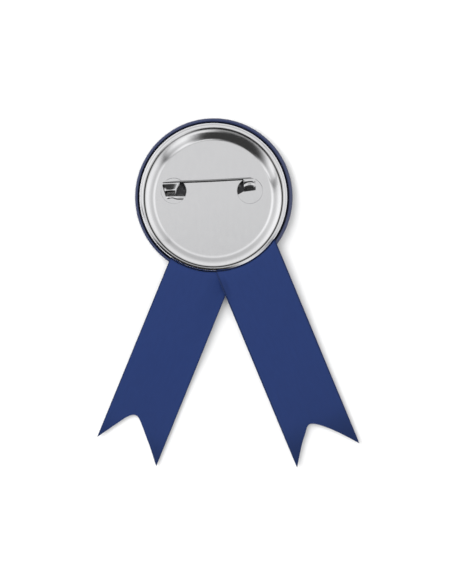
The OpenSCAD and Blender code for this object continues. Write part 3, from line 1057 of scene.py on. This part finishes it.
# %% Build the tails
def build_tail(name, tail):
    """A tail as a closed sheet, with its flat size and area in metres."""
    points, thickness, uv = tail_grids(tail)
    normals = np.cross(np.gradient(points, axis=1), np.gradient(points, axis=0))
    normals /= np.linalg.norm(normals, axis=-1, keepdims=True)
    normals *= np.sign(normals[..., 2:].mean())
    half = normals * thickness[..., None] / 2
    grid = np.concatenate(((points + half).reshape(-1, 3), (points - half).reshape(-1, 3)))
    turn = math.radians(tail["turn"])
    c, s = math.cos(turn), math.sin(turn)
    spin = np.array([(c, -s, 0), (s, c, 0), (0, 0, 1)])
    piece = mesh_object(name, grid @ spin.T, sheet_faces(*thickness.shape))
    layer = piece.data.uv_layers.new(name="ribbon")
    corners = np.zeros(len(piece.data.loops), int)
    piece.data.loops.foreach_get("vertex_index", corners)
    flat = np.concatenate((uv.reshape(-1, 2), uv.reshape(-1, 2)))
    layer.data.foreach_set("uv", (flat[corners] * MM).astype(np.float32).ravel())
    piece.data.materials.append(SATIN)
    close_up(piece, smooth_angle=50)
    corner = points[:-1, :-1]
    cells = np.linalg.norm(np.cross(points[1:, :-1] - corner, points[:-1, 1:] - corner), axis=-1)
    area = float(cells.sum()) * MM * MM
    length = float(uv[..., 1].max() - uv[..., 1].min()) * MM
    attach(piece, "badge")
    print(name, "is cut from", round(tail["width"], 1), "by", round(length / MM, 1), "mm, area",
          round(area / MM / MM), "mm2")
    return piece, (tail["width"] * MM, length), area


ribbon_left, flat, area = build_tail("ribbon_left", LEFT_TAIL)
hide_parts("tail_left")
ribbon_right, flat, area = build_tail("ribbon_right", RIGHT_TAIL)
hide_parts("tail_right")

# %% [markdown]
# ## Floor
# The floor is a plain pale board, 0.9 m wide. It lies a fiftieth of a millimetre under
# the badge, so that the two surfaces never fall together.

# %% Make the floor
HALF_FLOOR, FLOOR_Z = 450, -0.02
BOARD, BOARD_GRAIN = (0.83, 0.83, 0.83, 1), (0.82, 0.82, 0.82, 1)


def pale_floor():
    material, tree, shader = new_material("pale floor")
    grain = group_node(tree, SOFT_PATCHES, Scale=8)
    fill(tree, shader, {
        "Base Color": mix_colours(tree, grain, BOARD, BOARD_GRAIN),
        "Roughness": 0.9,
        "Specular IOR Level": 0.0,
    })
    return material


corners = [(x * HALF_FLOOR, y * HALF_FLOOR, FLOOR_Z) for x, y in ((-1, -1), (1, -1), (1, 1), (-1, 1))]
floor = mesh_object("floor", corners, [(0, 1, 2, 3)])
floor.data.materials.append(pale_floor())
print("floor:", 2 * HALF_FLOOR, "mm wide")

# %% [markdown]
# ## Light
# The light is a plain soft studio: the world lights everything from all round, a soft
# lamp at the upper left gives the faint shadows to the right, and a wide one overhead
# fills them. Bright metal shows what stands round it, so the world isn't quite even:
# grey straight above, brighter at the sides, with dark areas towards the lower left,
# which the wall mirrors as its dark arc, and three narrow dark posts, which it mirrors
# as thin streaks. Bright metal mirrors the world in full and dull things get half of
# its light, so that the lamps still shape their shadows. To the camera it is plain white.

# %% Helpers for the world
def band(tree, value, low, high, soft):
    """1 between two values, easing to 0 outside them."""
    rise = spread(tree, value, low - soft, low + soft, kind="SMOOTHSTEP")
    fall = spread(tree, value, high - soft, high + soft, 1.0, 0.0, kind="SMOOTHSTEP")
    return math_node(tree, "MULTIPLY", rise, fall)


def ramp(tree, value, stops):
    """Grey levels between stops (place from 0 to 1, level)."""
    node = put(tree, "ShaderNodeValToRGB", {0: value})
    elements = node.color_ramp.elements
    while len(elements) < len(stops):
        elements.new(0.5)
    for element, (place, level) in zip(elements, stops):
        element.position = place
        element.color = (level, level, level, 1)
    return node


# %% Build the studio world
# Grey levels round the badge, by the share of a full turn, and from the horizon up
SIDES = [
    (0.0, 0.87), (0.083, 0.84), (0.125, 0.74), (0.25, 0.74), (0.35, 0.78), (0.417, 0.95),
    (0.497, 0.92), (0.52, 0.72), (0.548, 0.93), (0.583, 0.86), (0.8, 0.88), (0.833, 0.97),
    (0.868, 0.8), (0.903, 0.4), (0.93, 0.8), (1.0, 0.87),
]
UPWARDS = [(0.0, 0.78), (0.3, 0.82), (0.44, 0.7), (0.53, 0.64), (0.62, 0.76), (0.72, 1.0),
           (0.84, 1.0), (0.93, 0.78), (1.0, 0.7)]
# Dark areas in degrees: from and to round the badge, softness, from and to in height, softness.
# Their level at two heights comes after them: they are darkest at the foot.
DARK_AREAS = [(211, 289, 10, -20, 74, 4), (211, 267, 11, 60, 80.5, 3), (228, 268, 6, 81, 88, 1.2)]
DARK_LOW, DARK_HIGH = (18, 0.006), (42, 0.043)
# Posts: direction and half the width in degrees, and how dark
POSTS = [(187.5, 3.5, 0.68), (324.5, 2.4, 0.68), (48.0, 2.0, 0.25)]
POST_FOOT, POST_TOP, POST_GREY = 28, 78, 0.1
# Straight above, from 82 degrees up, the sky's level at the middle and its change along Y
ABOVE_FROM, ABOVE_FULL, ABOVE_LEVEL, ABOVE_SLOPE = 82, 88, 0.64, 1.6
SKY, SKY_ON_DULL, SKY_LEVEL = 1.3, 0.65, 1.13


def studio_world():
    world = bpy.data.worlds.new("soft studio")
    world.use_nodes = True
    tree = world.node_tree
    tree.nodes.clear()
    way = put(tree, "ShaderNodeTexCoord").outputs["Generated"]
    x, y, z = put(tree, "ShaderNodeSeparateXYZ", {0: way}).outputs
    turn = math_node(tree, "MULTIPLY", math_node(tree, "ARCTAN2", y, x), 180 / math.pi)
    azimuth = math_node(tree, "MODULO", math_node(tree, "ADD", turn, 360.0), 360.0)
    height = math_node(tree, "MULTIPLY", math_node(tree, "ARCSINE", z), 180 / math.pi)

    def part_of_sky(left, right, soft, low, high, soft_height):
        return math_node(tree, "MULTIPLY", band(tree, azimuth, left, right, soft),
                         band(tree, height, low, high, soft_height))

    sides = ramp(tree, math_node(tree, "DIVIDE", azimuth, 360.0), SIDES)
    level = ramp(tree, math_node(tree, "DIVIDE", height, 90.0), UPWARDS)
    grey = math_node(tree, "MULTIPLY", math_node(tree, "MULTIPLY", sides, level), SKY_LEVEL)
    above = spread(tree, height, ABOVE_FROM, ABOVE_FULL, kind="SMOOTHSTEP")
    grey = mix_values(tree, above, grey, math_node(tree, "MULTIPLY_ADD", y, ABOVE_SLOPE, ABOVE_LEVEL))
    dark = 0.0
    for area in DARK_AREAS:
        dark = math_node(tree, "MAXIMUM", dark, part_of_sky(*area))
    gloom = spread(tree, height, DARK_LOW[0], DARK_HIGH[0], DARK_LOW[1], DARK_HIGH[1])
    grey = mix_values(tree, dark, grey, gloom)
    for middle, half, share in POSTS:
        post = part_of_sky(middle - half, middle + half, 1.5, POST_FOOT, POST_TOP, 5.0)
        grey = mix_values(tree, math_node(tree, "MULTIPLY", post, share), grey, POST_GREY)
    ray = put(tree, "ShaderNodeLightPath").outputs
    grey = mix_values(tree, ray["Is Camera Ray"], grey, 1.0)
    direct = math_node(tree, "MAXIMUM", ray["Is Camera Ray"], ray["Is Glossy Ray"])
    strength = mix_values(tree, direct, SKY_ON_DULL, SKY)
    sky = put(tree, "ShaderNodeBackground", {"Color": grey, "Strength": strength})
    put(tree, "ShaderNodeOutputWorld", {"Surface": sky})
    return world


bpy.context.scene.world = studio_world()
bpy.context.scene.view_settings.view_transform = "Standard"
print("world:", bpy.context.scene.world.name)


# %% Hang the lamps
def soft_lamp(name, azimuth, elevation, distance, size, power):
    """A square lamp that faces the badge."""
    data = bpy.data.lights.new(name, "AREA")
    data.energy, data.size = power, size
    lamp = bpy.data.objects.new(name, data)
    a, e = math.radians(azimuth), math.radians(elevation)
    way = np.array((math.cos(a) * math.cos(e), math.sin(a) * math.cos(e), math.sin(e)))
    lamp.location = way * distance
    lamp.rotation_euler = (math.pi / 2 - e, 0, a + math.pi / 2)
    lamp.visible_glossy = False
    bpy.context.scene.collection.objects.link(lamp)
    print("lamp:", name, "at", [round(float(v), 2) for v in lamp.location], "m")


soft_lamp("key", azimuth=147, elevation=51, distance=1.1, size=0.85, power=10.6)
soft_lamp("fill", azimuth=270, elevation=80, distance=1.5, size=1.6, power=17.5)
